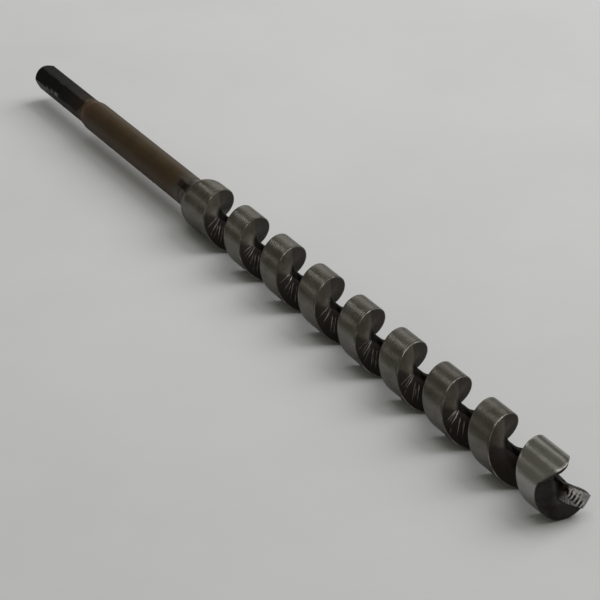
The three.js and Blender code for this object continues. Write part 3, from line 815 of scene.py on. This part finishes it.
def floor_paper():
    m = Net("pale_paper")
    n1 = m.noise(6.0, 4.0, 0.6)
    n2 = m.noise(900.0, 3.0, 0.6)
    color = m.mix(m.step(n1, 0.3, 0.7), (0.604, 0.606, 0.622), (0.640, 0.641, 0.656))
    m.bump((n1, 0.004, 0.12), (n2, 0.0001, 0.12))
    return m.finish(color, 0.85, 0.0, Specular_IOR_Level=0.2)


# where the front faces get a painted highlight: along their creases
co = np.zeros(len(flute.data.vertices) * 3, np.float32)
flute.data.vertices.foreach_get("co", co)
co = co.reshape(-1, 3).astype(float) * 1000.0
vr = np.hypot(co[:, 1], co[:, 2] - R)
vth = np.degrees(np.arctan2(-co[:, 1], co[:, 2] - R))
k = np.floor((co[:, 0] - PH) / PITCH - vth / 360.0 + 1e-4)
ahead = ((co[:, 0] - PH) / PITCH - vth / 360.0 - k) * PITCH
on_face = smooth((5.2 - ahead) / 1.0)
total_th = vth + 360.0 * k
for n, (dist, present) in enumerate(creases(total_th, np.minimum(vr, R))[0]):
    for label, values in (("crease_at_%d" % n, dist), ("crease_on_%d" % n, present * on_face)):
        layer = flute.data.attributes.new(label, "FLOAT", "POINT")
        layer.data.foreach_set("value", values.astype(np.float32))
co = np.zeros(len(lip.data.vertices) * 3, np.float32)
lip.data.vertices.foreach_get("co", co)
co = co.reshape(-1, 3).astype(float) * 1000.0
layer = lip.data.attributes.new("bitten", "FLOAT", "POINT")
layer.data.foreach_set("value", lip_ripple(co[:, 1], co[:, 2] - R).astype(np.float32))

PIECES = [
    (flute, "flute_body", "ground_steel", steel_flute()),
    (lip, "cutting_lip", "lip_steel", lip_steel()),
    (braze, "lip_braze_layer", "braze_metal", joint_metal("dark_braze", (0.020, 0.013, 0.008), (0.055, 0.040, 0.026), 0.8)),
    (hexagon, "hex_drive_end", "black_oxide", black_oxide()),
    (shank, "round_shank", "brown_lacquer", brown_lacquer()),
    (hex_seam, "hex_weld_seam", "weld_metal", joint_metal("weld_at_hexagon", (0.052, 0.032, 0.018), (0.074, 0.046, 0.028), 0.0)),
    (neck_seam, "neck_weld_seam", "weld_metal", joint_metal("weld_at_neck", (0.040, 0.031, 0.022), (0.075, 0.063, 0.049), 0.5)),
]
for ob, node, slot, mat in PIECES:
    ob.data.materials.clear()
    ob.data.materials.append(mat)
    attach(ob, "root")
    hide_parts(node)
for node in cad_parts.values():
    for s in node.material_slots:
        if s.material is None:
            s.material = PIECES[0][3]

# ------------------------------------------------------------------ floor, light, camera
fv, ff = [], []
side, cells = 6000.0, 60
for i in range(cells + 1):
    for j in range(cells + 1):
        fv.append([-side / 2 + side * i / cells, -side / 2 + side * j / cells, -0.02])
for i in range(cells):
    for j in range(cells):
        a = i * (cells + 1) + j
        ff.append([a, a + cells + 1, a + cells + 2, a + 1])
floor = new_object("floor", fv, ff)
floor.data.materials.append(floor_paper())


def area_light(name, location, target, size, power, color=(1, 1, 1), size_y=None):
    data = bpy.data.lights.new(name, "AREA")
    data.shape = "RECTANGLE"
    data.size, data.size_y = size, size_y or size
    data.energy, data.color = power, color
    ob = bpy.data.objects.new(name, data)
    ob.location = location
    ob.rotation_mode = "QUATERNION"
    ob.rotation_quaternion = (Vector(target) - Vector(location)).to_track_quat("-Z", "Y")
    bpy.context.scene.collection.objects.link(ob)
    return ob


area_light("key", (-0.14, 1.18, 1.20), (-0.03, 0, 0), 1.3, 16.9, (1.0, 0.997, 0.995))
area_light("over", (-0.34, 0.18, 2.2), (0, 0, 0), 1.7, 13.7, (0.995, 0.995, 1.0))
area_light("back_window", (-2.05, 0.28, 1.57), (0, 0, 0.02), 0.38, 0.90, (1.0, 1.0, 0.99), 0.32)
area_light("far_panel", (-1.90, 1.22, 0.66), (0, 0, 0.02), 0.9, 1.85, (1.0, 1.0, 0.98), 0.84)
area_light("near_panel", (-1.90, -1.09, 0.99), (0, 0, 0.02), 0.42, 0.38, (1.0, 1.0, 0.98), 0.38)

world = bpy.data.worlds.new("studio")
bpy.context.scene.world = world
world.use_nodes = True
world.node_tree.nodes["Background"].inputs[0].default_value = (0.214, 0.213, 0.180, 1.0)
world.node_tree.nodes["Background"].inputs[1].default_value = 1.0

cam_data = bpy.data.cameras.new("camera")
cam = bpy.data.objects.new("camera", cam_data)
bpy.context.scene.collection.objects.link(cam)
bpy.context.scene.camera = cam
cam_data.lens, cam_data.sensor_width = 170.7, 36.0
cam_data.clip_start, cam_data.clip_end = 0.05, 50.0
tau = math.radians(26.164)
d = Vector((0.47637, 0.38769, -0.78915))
up = Vector((0.0, -math.cos(tau), -math.sin(tau)))
yn = d.cross(up)
if yn.z > 0:
    yn = -yn
axes = Matrix((d, -yn, up)).transposed()        # row frame to x right, y down, z forward
right, down, ahead_v = axes[0].normalized(), axes[1].normalized(), axes[2].normalized()
turn = Matrix((right, -down, -ahead_v)).transposed().to_4x4()
cam.matrix_world = Matrix.Translation((0.93925, -0.49362, 0.51109)) @ turn

bpy.context.scene.view_settings.view_transform = "Standard"
